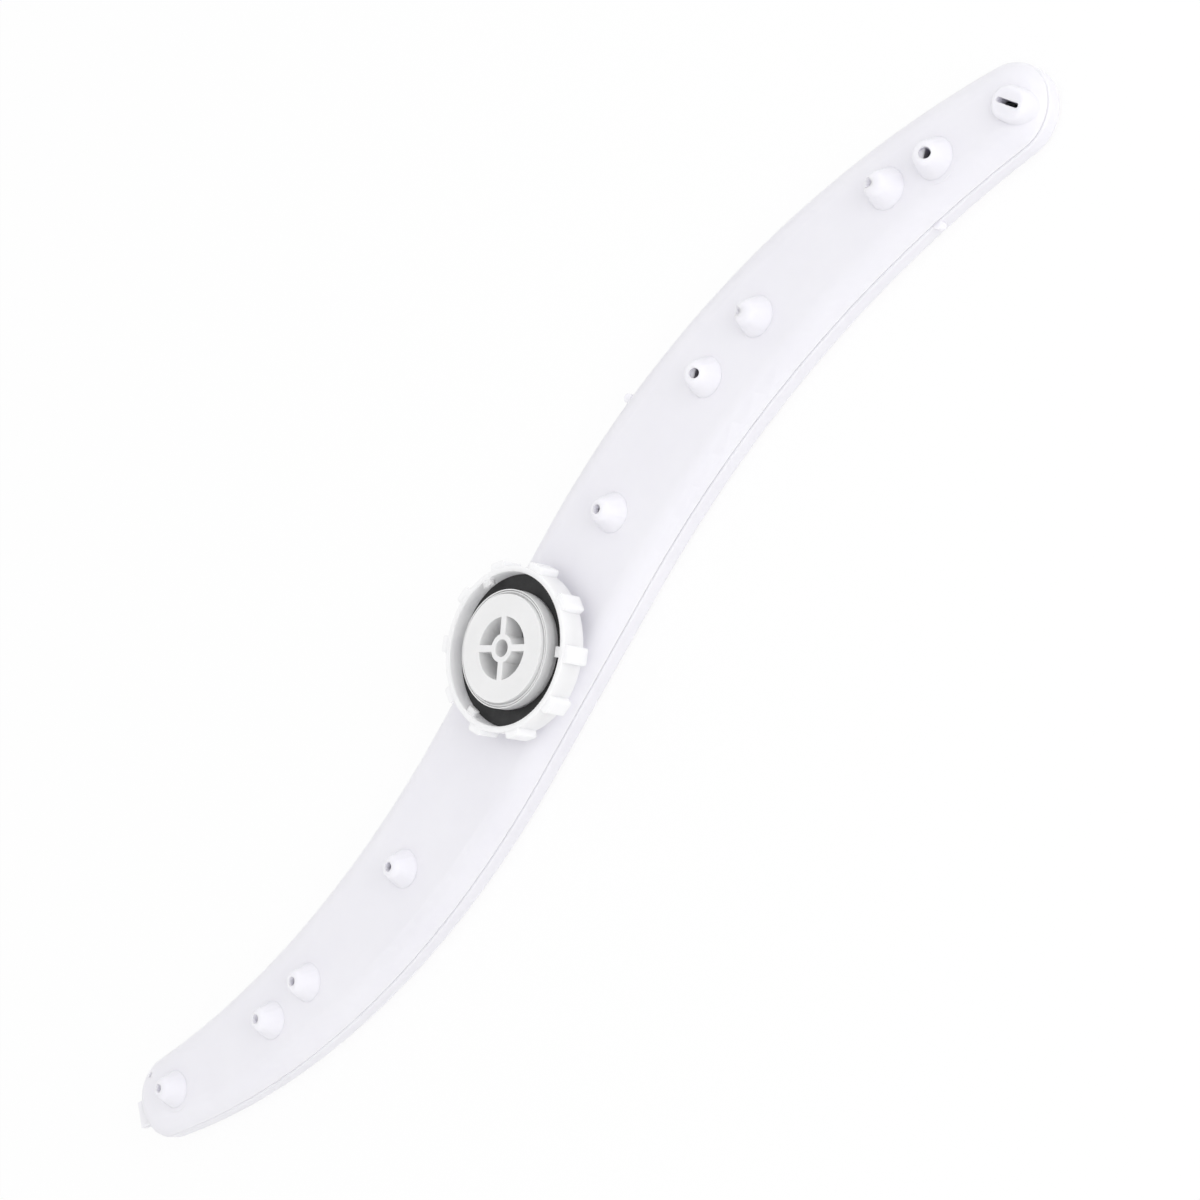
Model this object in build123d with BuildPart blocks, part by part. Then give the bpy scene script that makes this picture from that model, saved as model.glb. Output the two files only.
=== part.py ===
# Upper spray arm of a dishwasher: an S-shaped hollow arm in two welded shells, with domed jets along
# its top, a coupling nut that holds it to the feed pipe, and the inlet bush on which the nut turns.
# Millimetres, +Z up along the hub axis, origin on the hub axis at the underside, +X along the arm.

import os
from math import cos, radians, sin, sqrt

from build123d import *

# Plan of the arm, an S that repeats after half a turn about the hub axis
ARM_LENGTH = 450.0
TIP_RADIUS = 12.8
TIP_OFFSET = 8.5
HUB_WIDTH = 45.0
HUB_LEAN = 16.2
OUTER_STRAIGHT = 29.0
INNER_STRAIGHT = 38.5

# Section of the two shells
SEAM_HEIGHT = 6.5
UPPER_HEIGHT = 5.0
UPPER_WALL = 2.0
RIM_HEIGHT = 0.8
SHOULDER_RUN = 3.3
SHOULDER_RADIUS = 8.0
SPACE_RIM = 0.1
LOWER_WALL = 2.4
FLOOR_RADIUS = 3.0
SEAM_LEDGE = 0.4
SEAM_GROOVE = 0.4

# Domed jets along the middle of the arm
JET_BASE_RADIUS = 6.0
JET_TOP_RADIUS = 3.0
JET_HEIGHT = 6.4
JET_ROUNDING = 2.4
JET_FLARE = 1.4
JET_AIM_HEIGHT = 4.4
JET_INLET_RADIUS = 3.2
# Half of the arm, share of the way from hub axis to tip centre, shift from the middle line towards the
# outer edge, bore, lean of the bore and its heading
JETS = [
    (1, 0.225, 0.0, 2.9, 10, 130),
    (1, 0.456, 0.0, 3.0, 34, -50),
    (1, 0.567, 0.0, 2.9, 62, 130),
    (1, 0.818, 0.0, 2.9, 52, 130),
    (1, 0.894, -2.3, 3.3, 38, -50),
    (-1, 0.370, 0.0, 2.9, 4, 130),
    (-1, 0.625, 0.0, 2.9, 8, 130),
    (-1, 0.720, 1.1, 2.9, 18, 130),
    (-1, 0.960, 0.7, 2.7, 20, 130),
]

# Fan slot on a low block at one tip, which stands on the rim
FAN_REACH = 5.0
FAN_HEADING = -47.0
FAN_TURN = -64.0
FAN_LENGTH = 14.0
FAN_WIDTH = 11.5
FAN_HEIGHT = 2.6
FAN_DRAFT = 12.0
FAN_ROUNDING = 1.4
FAN_SLOT_LENGTH = 7.8
FAN_SLOT_WIDTH = 1.4

# Flat spout on the end of the other tip, and the small side jet beside it
SPOUT_HEADING = 163.0
SPOUT_SETBACK = 0.2
SPOUT_SHIFT = 2.6
SPOUT_WIDTH = 8.6
SPOUT_LIFT = 0.8
SPOUT_HEIGHT = 2.6
SPOUT_WALL = 0.7
SIDE_JET_BORE = 1.8
SIDE_JET_REACH = 9.0
SIDE_JET_HEADING = 92.0
SIDE_JET_LEAN = 40.0
SIDE_JET_DEPTH = 8.0

# Moulding nubs on the edges of the shells
GATE_RADIUS = 1.4
GATE_HEIGHT = 2.4
UPPER_GATE_SHARE = 0.330
LOWER_GATE_SHARE = 0.838

# Inlet bush, whose spigot takes the feed pipe
SPIGOT_RADIUS = 17.6
SPIGOT_LENGTH = 3.45
SPIGOT_UNDERCUT = 0.7
LIP_WALL = 0.3
OUTER_GROOVE_WIDTH = 0.35
RIDGE_WIDTH = 0.3
INNER_GROOVE_WIDTH = 0.6
GROOVE_DEPTH = 1.0
FACE_RISE = 1.0
BUSH_WALL = 1.8
BUSH_CORE_WIDTH = 1.3
BARREL_WALL = 2.05
SPOKE_ANGLE = 50.0
SPOKE_WIDTH = 2.0
SPOKE_DEPTH = 7.0
SPOKE_ROOT = 0.3
BOSS_RADIUS = 4.2
BOSS_DEPTH = 9.0
BOSS_BORE_RADIUS = 2.6
SNAP_BEAD = 0.6
SNAP_HEIGHT = 0.6
SNAP_LEAD = 1.0

# Neck that carries the bush and the nut
NECK_WALL = 2.0
NECK_SHOULDER_WIDTH = 2.5
NECK_SPREAD = 2.5
BUSH_FIT = 0.05

# Coupling nut and its seal
NUT_LIFT = 4.0
NUT_HEIGHT = 8.0
PIPE_ROOM = 5.2
NUT_WALL = 1.8
NUT_RIM_ROUNDING = 0.4
WEB_RISE = 0.4
WEB_THICKNESS = 1.6
NUT_FIT = 0.08
NUT_FLOAT = 0.3
LUG_COUNT = 10
LUG_START = 27.5
LUG_REACH = 2.0
LUG_ROOT = 1.2
LUG_WIDTH = 5.2
LUG_ROUNDING = 0.8
TAB_COUNT = 3
TAB_START = 76.5
TAB_REACH = 1.9
TAB_WIDTH = 3.1
TAB_HEIGHT = 2.0
TAB_ROOT = 0.6
SEAL_THICKNESS = 0.9
SEAL_FIT = 0.1
SEAL_GAP = 0.4
SEAL_HEADROOM = 1.5

# Heights that follow from the sizes above
SHOULDER_RISE = UPPER_HEIGHT - RIM_HEIGHT
RIM_TOP = SEAM_HEIGHT + RIM_HEIGHT
TOP = SEAM_HEIGHT + UPPER_HEIGHT
CEILING = TOP - UPPER_WALL
NUT_BOTTOM = TOP + NUT_LIFT
NUT_TOP = NUT_BOTTOM + NUT_HEIGHT
WEB_BOTTOM = NUT_BOTTOM + WEB_RISE
WEB_TOP = WEB_BOTTOM + WEB_THICKNESS
NECK_SHOULDER = WEB_BOTTOM - NUT_FLOAT
NECK_TOP = WEB_TOP + NUT_FLOAT
SPIGOT_BOTTOM = WEB_TOP + SEAL_THICKNESS + SEAL_HEADROOM
SPIGOT_TOP = SPIGOT_BOTTOM + SPIGOT_LENGTH
GROOVE_FLOOR = SPIGOT_TOP - GROOVE_DEPTH
FACE = SPIGOT_TOP + FACE_RISE

# Radii that follow from the spigot, inwards to the windows and outwards to the lugs
FOOT_RADIUS = SPIGOT_RADIUS - SPIGOT_UNDERCUT
CORE_OUTER_RADIUS = FOOT_RADIUS - BUSH_WALL
CORE_INNER_RADIUS = CORE_OUTER_RADIUS - BUSH_CORE_WIDTH
NECK_RADIUS = CORE_INNER_RADIUS - NUT_FLOAT
NECK_BORE_RADIUS = NECK_RADIUS - NECK_WALL
BARREL_RADIUS = NECK_BORE_RADIUS - BUSH_FIT
WINDOW_RADIUS = BARREL_RADIUS - BARREL_WALL
LIP_RADIUS = SPIGOT_RADIUS - LIP_WALL
RIDGE_OUTER_RADIUS = LIP_RADIUS - OUTER_GROOVE_WIDTH
RIDGE_INNER_RADIUS = RIDGE_OUTER_RADIUS - RIDGE_WIDTH
FACE_RADIUS = RIDGE_INNER_RADIUS - INNER_GROOVE_WIDTH
NUT_INNER_RADIUS = SPIGOT_RADIUS + PIPE_ROOM
NUT_OUTER_RADIUS = NUT_INNER_RADIUS + NUT_WALL

# Directions along and across the straight stretch, and the middle of the round tip
along = Vector(1, 0, 0).rotate(Axis.Z, HUB_LEAN)
across = along.rotate(Axis.Z, 90)
tip = Vector(ARM_LENGTH / 2 - SEAM_LEDGE - TIP_RADIUS, TIP_OFFSET, 0)


def heading(degrees):
    """Level unit vector at an angle from +X."""
    return Vector(cos(radians(degrees)), sin(radians(degrees)), 0)


def leaning(lean, degrees):
    """Unit vector that leans from +Z towards a heading."""
    return heading(degrees) * sin(radians(lean)) + Vector(0, 0, cos(radians(lean)))


def long_edge(side, straight):
    """Arc tangent to the straight stretch and to the tip: its start, centre, radius and end."""
    start = along * straight + across * (side * HUB_WIDTH / 2)
    run = start - tip
    radius = (run.dot(run) - TIP_RADIUS**2) / (2 * (run.dot(across) - side * TIP_RADIUS))
    centre = start - across * radius
    end = centre + (tip - centre).normalized() * radius
    return start, centre, radius, end


def height_on(edge, x):
    """Y of a long edge at x, on the +X half of the arm."""
    start, centre, radius, end = edge
    return centre.Y + sqrt(radius**2 - (x - centre.X) ** 2)


outer_edge = long_edge(1, OUTER_STRAIGHT)
inner_edge = long_edge(-1, INNER_STRAIGHT)


def near_middle(half, share, shift):
    """Point shifted from the arm's middle line, a share of the way from the hub axis to the tip centre."""
    x = tip.X * share
    y = (height_on(outer_edge, x) + height_on(inner_edge, x)) / 2
    return Vector(x, y + shift, 0) * half


# Plan outline of the upper shell at the seam
with BuildSketch() as arm_plan:
    with BuildLine():
        for half in (1, -1):
            outer_arc = TangentArc(outer_edge[0] * half, outer_edge[3] * half, tangent=along * half)
            tip_arc = TangentArc(outer_arc @ 1, inner_edge[3] * half, tangent=outer_arc % 1)
            inner_arc = TangentArc(tip_arc @ 1, inner_edge[0] * half, tangent=tip_arc % 1)
            Line(inner_arc @ 1, outer_edge[0] * -half)
    make_face()

# Water space inside the upper shell
with BuildPart() as upper_space:
    with BuildSketch(Plane.XY.offset(SEAM_HEIGHT)):
        add(arm_plan.sketch)
        offset(amount=-UPPER_WALL)
    extrude(amount=UPPER_HEIGHT - UPPER_WALL)
    space_top = upper_space.faces().sort_by(Axis.Z)[-1]
    space_rise = UPPER_HEIGHT - UPPER_WALL - SPACE_RIM
    chamfer(space_top.edges(), space_rise * SHOULDER_RUN / SHOULDER_RISE, space_rise, reference=space_top)
    fillet(upper_space.faces().sort_by(Axis.Z)[-1].edges(), SHOULDER_RADIUS - UPPER_WALL)

# Water space inside the lower shell
with BuildPart() as lower_space:
    with BuildSketch(Plane.XY.offset(LOWER_WALL)):
        add(arm_plan.sketch)
        offset(amount=SEAM_LEDGE - LOWER_WALL)
    extrude(amount=SEAM_HEIGHT - LOWER_WALL)
    fillet(lower_space.faces().sort_by(Axis.Z)[0].edges(), FLOOR_RADIUS - LOWER_WALL)

# Low block of the fan slot, from the rim up
with BuildPart() as fan_block:
    fan_foot = tip + heading(FAN_HEADING) * FAN_REACH + Vector(0, 0, RIM_TOP)
    fan_plane = Plane(fan_foot, x_dir=heading(FAN_TURN), z_dir=(0, 0, 1))
    fan_rise = TOP + FAN_HEIGHT - RIM_TOP
    with BuildSketch(fan_plane):
        SlotOverall(FAN_LENGTH, FAN_WIDTH)
    extrude(amount=fan_rise, taper=FAN_DRAFT)
    fillet(fan_block.faces().sort_by(Axis.Z)[-1].edges(), FAN_ROUNDING)

# Upper shell: low rounded cover with domed jets, fan slot, end spout and neck
with BuildPart() as upper_shell:
    with BuildSketch(Plane.XY.offset(SEAM_HEIGHT)):
        add(arm_plan.sketch)
    extrude(amount=UPPER_HEIGHT)
    chamfer(upper_shell.faces().sort_by(Axis.Z)[0].edges(), SEAM_GROOVE)
    shell_top = upper_shell.faces().sort_by(Axis.Z)[-1]
    chamfer(shell_top.edges(), SHOULDER_RUN, SHOULDER_RISE, reference=shell_top)
    fillet(upper_shell.faces().sort_by(Axis.Z)[-1].edges(), SHOULDER_RADIUS)

    # Domes of the jets, each flared into the flat top
    for half, share, shift, *_ in JETS:
        foot = near_middle(half, share, shift) + Vector(0, 0, TOP)
        with BuildSketch(Plane(foot, x_dir=(1, 0, 0), z_dir=(0, -1, 0))) as dome:
            with BuildLine():
                Polyline(
                    (0, -UPPER_WALL / 2),
                    (JET_BASE_RADIUS + JET_FLARE, -UPPER_WALL / 2),
                    (JET_BASE_RADIUS + JET_FLARE, 0),
                    (JET_BASE_RADIUS, 0),
                    (JET_TOP_RADIUS, JET_HEIGHT),
                    (0, JET_HEIGHT),
                    close=True,
                )
            make_face()
            crown = dome.vertices().group_by(Axis.Y)[-1].sort_by(Axis.X)[-1]
            hollow = dome.vertices().group_by(Axis.Y)[1].sort_by(Axis.X)[0]
            fillet(crown, JET_ROUNDING)
            fillet(hollow, JET_FLARE)
        revolve(axis=Axis(foot, (0, 0, 1)))

    # Block of the fan slot
    add(fan_block.part)

    # Spout on the end of the other tip
    spout_plane = Plane(
        Vector(0, 0, SEAM_HEIGHT + SPOUT_LIFT) - tip,
        x_dir=heading(SPOUT_HEADING),
        z_dir=(0, 0, 1),
    )
    spout_end = TIP_RADIUS - SPOUT_SETBACK
    with BuildSketch(spout_plane):
        with Locations((spout_end / 2, SPOUT_SHIFT)):
            Rectangle(spout_end, SPOUT_WIDTH)
    extrude(amount=SPOUT_HEIGHT)

    # Moulding nub on the outer edge
    gate_x = tip.X * UPPER_GATE_SHARE
    with Locations((gate_x, height_on(outer_edge, gate_x), SEAM_HEIGHT)):
        Cylinder(GATE_RADIUS, GATE_HEIGHT, align=(Align.CENTER, Align.CENTER, Align.MIN))

    # Neck, which spreads from the shoulder under the nut's web down to the arm
    shoulder = NECK_RADIUS + NECK_SHOULDER_WIDTH
    with Locations((0, 0, CEILING)):
        Cone(
            shoulder + NECK_SPREAD,
            shoulder,
            NECK_SHOULDER - CEILING,
            align=(Align.CENTER, Align.CENTER, Align.MIN),
        )
        Cylinder(NECK_RADIUS, NECK_TOP - CEILING, align=(Align.CENTER, Align.CENTER, Align.MIN))

    # Hollow inside, and the inlet bore through the neck
    add(upper_space.part, mode=Mode.SUBTRACT)
    with BuildSketch(Plane.XY.offset(SEAM_HEIGHT)):
        Circle(NECK_BORE_RADIUS)
    extrude(amount=NECK_TOP - SEAM_HEIGHT, mode=Mode.SUBTRACT)

    # Bores of the jets, each with a tapered way in from below
    for half, share, shift, bore, lean, aim in JETS:
        foot = near_middle(half, share, shift) + Vector(0, 0, CEILING)
        with Locations(foot):
            Cone(
                JET_INLET_RADIUS,
                bore / 2,
                UPPER_WALL + JET_AIM_HEIGHT,
                align=(Align.CENTER, Align.CENTER, Align.MIN),
                mode=Mode.SUBTRACT,
            )
        aim_point = foot + Vector(0, 0, UPPER_WALL + JET_AIM_HEIGHT)
        with Locations(Plane(aim_point, z_dir=leaning(lean, aim))):
            Cylinder(
                bore / 2,
                JET_HEIGHT,
                align=(Align.CENTER, Align.CENTER, Align.MIN),
                mode=Mode.SUBTRACT,
            )

    # Fan slot, mouth of the spout and side jet
    with BuildSketch(fan_plane):
        SlotOverall(FAN_SLOT_LENGTH, FAN_SLOT_WIDTH)
    extrude(amount=fan_rise, mode=Mode.SUBTRACT)
    with BuildSketch(spout_plane.offset(SPOUT_WALL)):
        with Locations((spout_end / 2, SPOUT_SHIFT)):
            Rectangle(spout_end, SPOUT_WIDTH - 2 * SPOUT_WALL)
    extrude(amount=SPOUT_HEIGHT - 2 * SPOUT_WALL, mode=Mode.SUBTRACT)
    side_jet = heading(SIDE_JET_HEADING) * SIDE_JET_REACH - tip + Vector(0, 0, TOP)
    with Locations(Plane(side_jet, z_dir=leaning(SIDE_JET_LEAN, SIDE_JET_HEADING))):
        Cylinder(SIDE_JET_BORE / 2, SIDE_JET_DEPTH, mode=Mode.SUBTRACT)

# Lower shell: shallow tray whose rim meets the upper shell's rim at the welded seam
with BuildPart() as lower_shell:
    with BuildSketch():
        add(arm_plan.sketch)
        offset(amount=SEAM_LEDGE)
    extrude(amount=SEAM_HEIGHT)
    fillet(lower_shell.faces().sort_by(Axis.Z)[0].edges(), FLOOR_RADIUS)
    chamfer(lower_shell.faces().sort_by(Axis.Z)[-1].edges(), SEAM_GROOVE)
    lower_gate_x = tip.X * LOWER_GATE_SHARE
    with Locations((lower_gate_x, height_on(inner_edge, lower_gate_x) - SEAM_LEDGE, SEAM_HEIGHT)):
        Cylinder(GATE_RADIUS, GATE_HEIGHT, align=(Align.CENTER, Align.CENTER, Align.MAX))
    add(lower_space.part, mode=Mode.SUBTRACT)

# Inlet bush: grooved spigot, barrel that snaps into the neck, four deep spokes and a bored boss
with BuildPart() as inlet_bush:
    core_top = SPIGOT_TOP - BUSH_WALL
    bead_top = CEILING - BUSH_FIT
    bead_bottom = bead_top - SNAP_HEIGHT
    with BuildSketch(Plane.XZ):
        with BuildLine():
            Polyline(
                (WINDOW_RADIUS, FACE),
                (FACE_RADIUS, FACE),
                (FACE_RADIUS, GROOVE_FLOOR),
                (RIDGE_INNER_RADIUS, GROOVE_FLOOR),
                (RIDGE_INNER_RADIUS, SPIGOT_TOP),
                (RIDGE_OUTER_RADIUS, SPIGOT_TOP),
                (RIDGE_OUTER_RADIUS, GROOVE_FLOOR),
                (LIP_RADIUS, GROOVE_FLOOR),
                (LIP_RADIUS, SPIGOT_TOP),
                (SPIGOT_RADIUS, SPIGOT_TOP),
                (SPIGOT_RADIUS, SPIGOT_BOTTOM),
                (FOOT_RADIUS, SPIGOT_BOTTOM),
                (FOOT_RADIUS, NECK_TOP),
                (CORE_OUTER_RADIUS, NECK_TOP),
                (CORE_OUTER_RADIUS, core_top),
                (CORE_INNER_RADIUS, core_top),
                (CORE_INNER_RADIUS, NECK_TOP),
                (BARREL_RADIUS, NECK_TOP),
                (BARREL_RADIUS, bead_top),
                (BARREL_RADIUS + SNAP_BEAD, bead_top),
                (BARREL_RADIUS + SNAP_BEAD, bead_bottom),
                (BARREL_RADIUS - SNAP_BEAD, bead_bottom - SNAP_LEAD),
                (WINDOW_RADIUS, bead_bottom - SNAP_LEAD),
                close=True,
            )
        make_face()
    revolve(axis=Axis.Z)
    with BuildSketch(Plane.XY.offset(FACE)):
        with PolarLocations(0, 2, start_angle=SPOKE_ANGLE, angular_range=180):
            Rectangle(2 * (WINDOW_RADIUS + SPOKE_ROOT), SPOKE_WIDTH)
    extrude(amount=-SPOKE_DEPTH)
    with BuildSketch(Plane.XY.offset(FACE)):
        Circle(BOSS_RADIUS)
    extrude(amount=-BOSS_DEPTH)
    with BuildSketch(Plane.XY.offset(FACE)):
        Circle(BOSS_BORE_RADIUS)
    extrude(amount=-BOSS_DEPTH, mode=Mode.SUBTRACT)

# Coupling nut: shallow cup with a web for a floor, grip lugs outside and bayonet tabs inside its rim
with BuildPart() as coupling_nut:
    web_bore = NECK_RADIUS + NUT_FIT
    with BuildSketch(Plane.XZ) as nut_section:
        with BuildLine():
            Polyline(
                (web_bore, WEB_BOTTOM),
                (NUT_INNER_RADIUS, WEB_BOTTOM),
                (NUT_INNER_RADIUS, NUT_BOTTOM),
                (NUT_OUTER_RADIUS, NUT_BOTTOM),
                (NUT_OUTER_RADIUS, NUT_TOP),
                (NUT_INNER_RADIUS, NUT_TOP),
                (NUT_INNER_RADIUS, WEB_TOP),
                (web_bore, WEB_TOP),
                close=True,
            )
        make_face()
        fillet(nut_section.vertices().group_by(Axis.Y)[-1], NUT_RIM_ROUNDING)
    revolve(axis=Axis.Z)
    with BuildSketch(Plane.XY.offset(NUT_BOTTOM)):
        lug_middle = NUT_OUTER_RADIUS + (LUG_REACH - LUG_ROOT) / 2
        with PolarLocations(lug_middle, LUG_COUNT, start_angle=LUG_START):
            RectangleRounded(LUG_REACH + LUG_ROOT, LUG_WIDTH, LUG_ROUNDING)
    extrude(amount=NUT_HEIGHT - NUT_RIM_ROUNDING)
    with BuildSketch(Plane.XY.offset(NUT_TOP - NUT_RIM_ROUNDING)):
        tab_middle = NUT_INNER_RADIUS + (TAB_ROOT - TAB_REACH) / 2
        with PolarLocations(tab_middle, TAB_COUNT, start_angle=TAB_START):
            Rectangle(TAB_REACH + TAB_ROOT, TAB_WIDTH)
    extrude(amount=-TAB_HEIGHT)

# Seal washer on the nut's web
with BuildPart() as seal_washer:
    with BuildSketch(Plane.XY.offset(WEB_TOP)):
        Circle(NUT_INNER_RADIUS - SEAL_FIT)
        Circle(FOOT_RADIUS + SEAL_GAP, mode=Mode.SUBTRACT)
    extrude(amount=SEAL_THICKNESS)

os.makedirs("parts", exist_ok=True)
upper_shell.part.label = "upper_shell"
export_step(upper_shell.part, "parts/upper_shell.step")
lower_shell.part.label = "lower_shell"
export_step(lower_shell.part, "parts/lower_shell.step")
inlet_bush.part.label = "inlet_bush"
export_step(inlet_bush.part, "parts/inlet_bush.step")
coupling_nut.part.label = "coupling_nut"
export_step(coupling_nut.part, "parts/coupling_nut.step")
seal_washer.part.label = "seal_washer"
export_step(seal_washer.part, "parts/seal_washer.step")
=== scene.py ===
import bpy
from mathutils import Matrix, Vector

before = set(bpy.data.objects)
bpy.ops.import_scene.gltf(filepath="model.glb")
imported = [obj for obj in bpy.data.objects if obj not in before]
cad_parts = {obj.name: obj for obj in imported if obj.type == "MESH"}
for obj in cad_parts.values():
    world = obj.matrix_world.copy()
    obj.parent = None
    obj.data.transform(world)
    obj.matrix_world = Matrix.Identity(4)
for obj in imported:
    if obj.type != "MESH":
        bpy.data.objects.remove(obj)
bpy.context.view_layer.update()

scene = bpy.context.scene
MM = 0.001

# Camera at the photograph's place, in metres in the part's frame, with lens and sensor in millimetres
CAMERA_EYE = Vector((0.3980, -0.4485, 0.5982))
CAMERA_FORWARD = Vector((-0.4478, 0.5392, -0.7133))
CAMERA_UP = Vector((0.6594, 0.7377, 0.1437))
CAMERA_LENS = 85.35
CAMERA_SENSOR = 36.0
CAMERA_NEAR = 0.01
CAMERA_FAR = 50.0

# Soft key light from the side of the fan tip, and even light all round
KEY_PLACE = Vector((0.90, -0.60, 0.52))
KEY_AIM = Vector((0.0, 0.0, 0.0))
KEY_SIZE = 0.85
KEY_POWER = 2.9
SKY_STRENGTH = 0.93
WHITE = (1.0, 1.0, 1.0, 1.0)

# Floor under the part, seen as white with a faint shadow
FLOOR_SIZE = 12.0
FLOOR_DROP = 0.05 * MM
FLOOR_COLOUR = (0.97, 0.97, 0.97, 1.0)
FLOOR_WHITENESS = 0.85

# Noise in the materials: the range where most of its values lie, and the detail of each kind
NOISE_LOW = 0.3
NOISE_HIGH = 0.7
CLOUD_DETAIL = 4.0
CLOUD_ROUGHNESS = 0.6
SHEEN_SHARE = 1 / 8
SHEEN_DETAIL = 3.0
GRAIN_DETAIL = 3.0
GRAIN_ROUGHNESS = 0.7
GRAIN_STRENGTH = 0.6
EDGE_SAMPLES = 6


def new_material(name):
    """Material with an empty node tree, and its output node."""
    material = bpy.data.materials.new(name)
    material.use_nodes = True
    material.node_tree.nodes.clear()
    return material, material.node_tree.nodes.new("ShaderNodeOutputMaterial")


def node(tree, kind, inputs=None, **settings):
    """New node with its settings and input values or links."""
    made = tree.nodes.new(kind)
    for name, value in settings.items():
        setattr(made, name, value)
    for name, value in (inputs or {}).items():
        if isinstance(value, bpy.types.NodeSocket):
            tree.links.new(value, made.inputs[name])
        else:
            made.inputs[name].default_value = value
    return made


def noise(tree, size, detail, roughness):
    """Noise over the piece itself, with features of about the size given in metres."""
    place = node(tree, "ShaderNodeTexCoord")
    return node(
        tree,
        "ShaderNodeTexNoise",
        {"Vector": place.outputs["Object"], "Scale": 1 / size, "Detail": detail, "Roughness": roughness},
    ).outputs["Fac"]


def spread(tree, value, low, high):
    """Takes a noise value to the range from low to high."""
    return node(
        tree,
        "ShaderNodeMapRange",
        {"Value": value, "From Min": NOISE_LOW, "From Max": NOISE_HIGH, "To Min": low, "To Max": high},
    ).outputs["Result"]


def tint(tree, value, low, high):
    """Colour between two tints, by a noise value."""
    ramp = node(tree, "ShaderNodeValToRGB", {"Fac": value})
    first, last = ramp.color_ramp.elements
    first.position, first.color = NOISE_LOW, low
    last.position, last.color = NOISE_HIGH, high
    return ramp.outputs["Color"]


def moulded(name, low, high, cloud, roughness, grain, grain_depth, edge, scatter, ior, specular):
    """Moulded plastic or rubber: clouds of tint and sheen, fine grain, and edges that catch the light."""
    material, output = new_material(name)
    tree = material.node_tree
    clouds = noise(tree, cloud, CLOUD_DETAIL, CLOUD_ROUGHNESS)
    sheen = noise(tree, cloud * SHEEN_SHARE, SHEEN_DETAIL, CLOUD_ROUGHNESS)
    rounded = node(tree, "ShaderNodeBevel", {"Radius": edge}, samples=EDGE_SAMPLES)
    bump = node(
        tree,
        "ShaderNodeBump",
        {
            "Height": noise(tree, grain, GRAIN_DETAIL, GRAIN_ROUGHNESS),
            "Distance": grain_depth,
            "Strength": GRAIN_STRENGTH,
            "Normal": rounded.outputs["Normal"],
        },
    )
    shader = node(
        tree,
        "ShaderNodeBsdfPrincipled",
        {
            "Base Color": tint(tree, clouds, low, high),
            "Roughness": spread(tree, sheen, roughness[0], roughness[1]),
            "Normal": bump.outputs["Normal"],
            "Subsurface Weight": 1.0 if scatter else 0.0,
            "Subsurface Radius": (1.0, 1.0, 1.0),
            "Subsurface Scale": scatter,
            "IOR": ior,
            "Specular IOR Level": specular,
        },
    )
    tree.links.new(shader.outputs["BSDF"], output.inputs["Surface"])
    return material


def seen(tree):
    """One for what the camera sees, straight, mirrored or through a clear piece, and zero otherwise."""
    path = node(tree, "ShaderNodeLightPath")
    direct = node(
        tree,
        "ShaderNodeMath",
        {0: path.outputs["Is Camera Ray"], 1: path.outputs["Is Glossy Ray"]},
        operation="MAXIMUM",
    )
    return node(
        tree,
        "ShaderNodeMath",
        {0: direct.outputs["Value"], 1: path.outputs["Is Transmission Ray"]},
        operation="MAXIMUM",
    ).outputs["Value"]


def dress(names, material):
    """Gives the material to the named solids."""
    for name in names:
        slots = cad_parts[name].data.materials
        slots.clear()
        slots.append(material)


# White polypropylene of the two welded shells
shell_plastic = moulded(
    "shell_plastic",
    low=(0.850, 0.842, 0.890, 1.0),
    high=(0.880, 0.872, 0.920, 1.0),
    cloud=30 * MM,
    roughness=(0.40, 0.52),
    grain=0.35 * MM,
    grain_depth=0.02 * MM,
    edge=0.25 * MM,
    scatter=1.2 * MM,
    ior=1.49,
    specular=0.4,
)
dress(["upper_shell", "lower_shell"], shell_plastic)

# White acetal of the nut, smoother than the shells
nut_plastic = moulded(
    "nut_plastic",
    low=(0.880, 0.880, 0.896, 1.0),
    high=(0.910, 0.910, 0.926, 1.0),
    cloud=12 * MM,
    roughness=(0.30, 0.40),
    grain=0.22 * MM,
    grain_depth=0.008 * MM,
    edge=0.20 * MM,
    scatter=4.0 * MM,
    ior=1.48,
    specular=0.45,
)
dress(["coupling_nut"], nut_plastic)

# Greyer acetal of the bush
bush_plastic = moulded(
    "bush_plastic",
    low=(0.835, 0.835, 0.838, 1.0),
    high=(0.865, 0.865, 0.868, 1.0),
    cloud=9 * MM,
    roughness=(0.32, 0.42),
    grain=0.22 * MM,
    grain_depth=0.008 * MM,
    edge=0.12 * MM,
    scatter=0.3 * MM,
    ior=1.48,
    specular=0.45,
)
dress(["inlet_bush"], bush_plastic)

# Black rubber of the seal
seal_rubber = moulded(
    "seal_rubber",
    low=(0.016, 0.016, 0.017, 1.0),
    high=(0.030, 0.030, 0.031, 1.0),
    cloud=3 * MM,
    roughness=(0.55, 0.72),
    grain=0.15 * MM,
    grain_depth=0.02 * MM,
    edge=0.12 * MM,
    scatter=0.0,
    ior=1.52,
    specular=0.5,
)
dress(["seal_washer"], seal_rubber)

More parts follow.
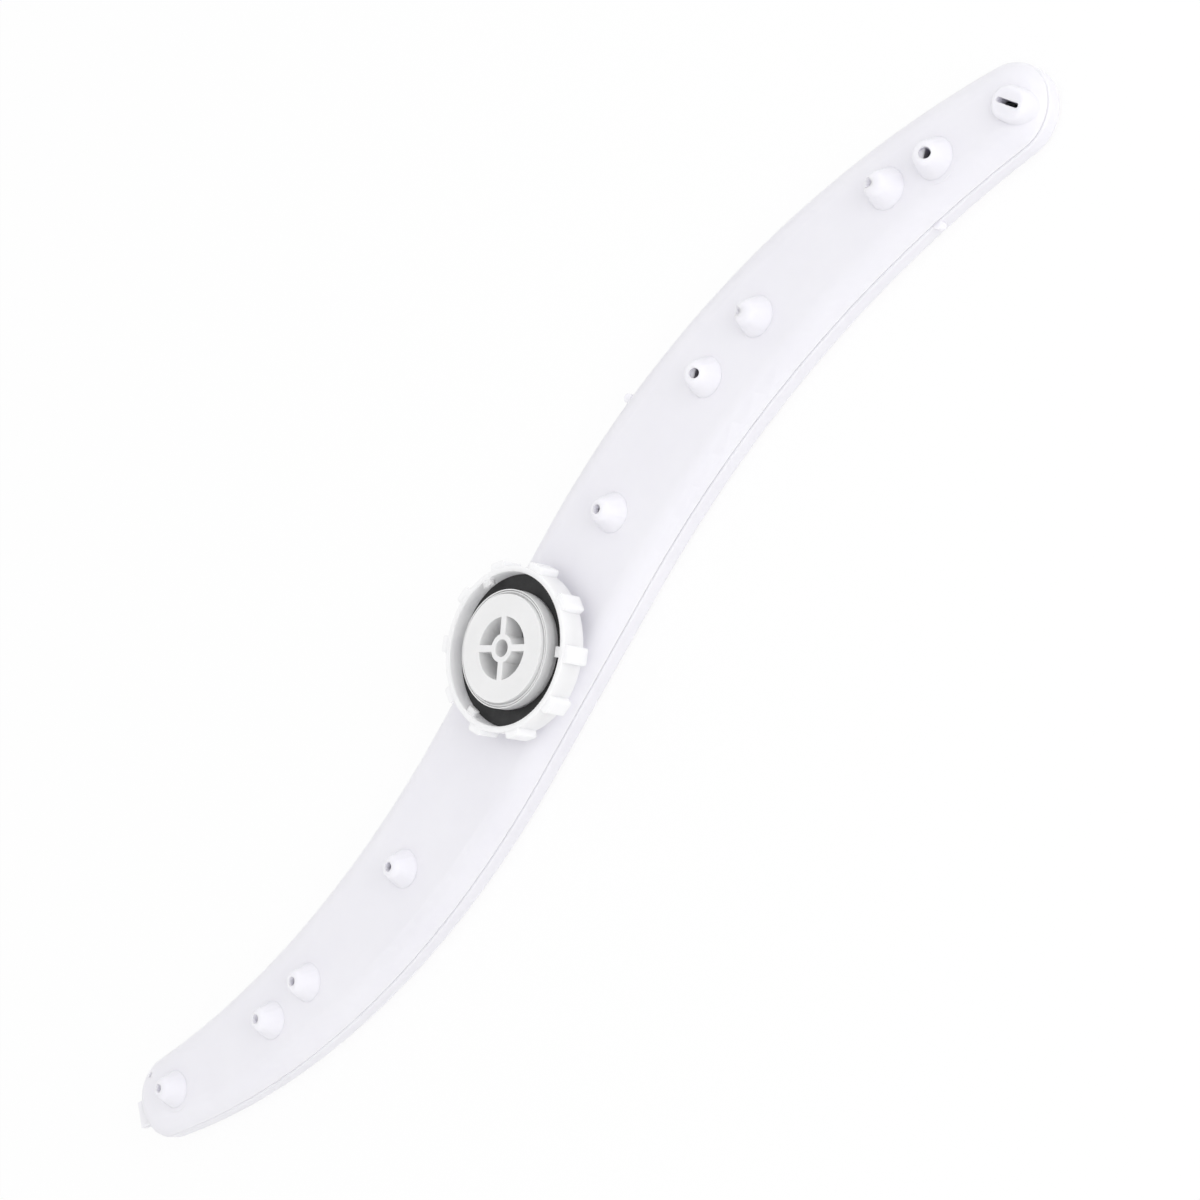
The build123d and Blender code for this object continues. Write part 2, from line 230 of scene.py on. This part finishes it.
# Floor: white to the camera and to reflections, and still shaded by the part
bpy.ops.mesh.primitive_plane_add(size=FLOOR_SIZE, location=(0, 0, -FLOOR_DROP))
floor = bpy.context.object
floor.name = "floor"
floor_material, floor_output = new_material("floor")
floor_tree = floor_material.node_tree
share = node(
    floor_tree,
    "ShaderNodeMath",
    {0: seen(floor_tree), 1: FLOOR_WHITENESS},
    operation="MULTIPLY",
)
paint = node(floor_tree, "ShaderNodeBsdfDiffuse", {"Color": FLOOR_COLOUR})
white = node(floor_tree, "ShaderNodeEmission", {"Color": WHITE, "Strength": 1.0})
mixed = node(
    floor_tree,
    "ShaderNodeMixShader",
    {0: share.outputs["Value"], 1: paint.outputs["BSDF"], 2: white.outputs["Emission"]},
)
floor_tree.links.new(mixed.outputs["Shader"], floor_output.inputs["Surface"])
floor.data.materials.append(floor_material)

# Key lamp
key_data = bpy.data.lights.new("key", "AREA")
key_data.shape = "DISK"
key_data.size = KEY_SIZE
key_data.energy = KEY_POWER
key = bpy.data.objects.new("key", key_data)
key.location = KEY_PLACE
key.rotation_mode = "QUATERNION"
key.rotation_quaternion = (KEY_AIM - KEY_PLACE).to_track_quat("-Z", "Y")
scene.collection.objects.link(key)

# Even light of the sky, which is white where the camera sees it
world = bpy.data.worlds.new("studio")
world.use_nodes = True
sky_tree = world.node_tree
sky = sky_tree.nodes["Background"]
sky.inputs["Color"].default_value = WHITE
level = node(sky_tree, "ShaderNodeMath", {0: seen(sky_tree), 1: SKY_STRENGTH}, operation="MAXIMUM")
sky_tree.links.new(level.outputs["Value"], sky.inputs["Strength"])
scene.world = world

# Camera
camera_data = bpy.data.cameras.new("camera")
camera_data.lens = CAMERA_LENS
camera_data.sensor_width = CAMERA_SENSOR
camera_data.clip_start = CAMERA_NEAR
camera_data.clip_end = CAMERA_FAR
camera = bpy.data.objects.new("camera", camera_data)
back = -CAMERA_FORWARD.normalized()
right = CAMERA_UP.cross(back).normalized()
up = back.cross(right)
camera.matrix_world = Matrix.Translation(CAMERA_EYE) @ Matrix((right, up, back)).transposed().to_4x4()
scene.collection.objects.link(camera)
scene.camera = camera

scene.view_settings.view_transform = "Standard"
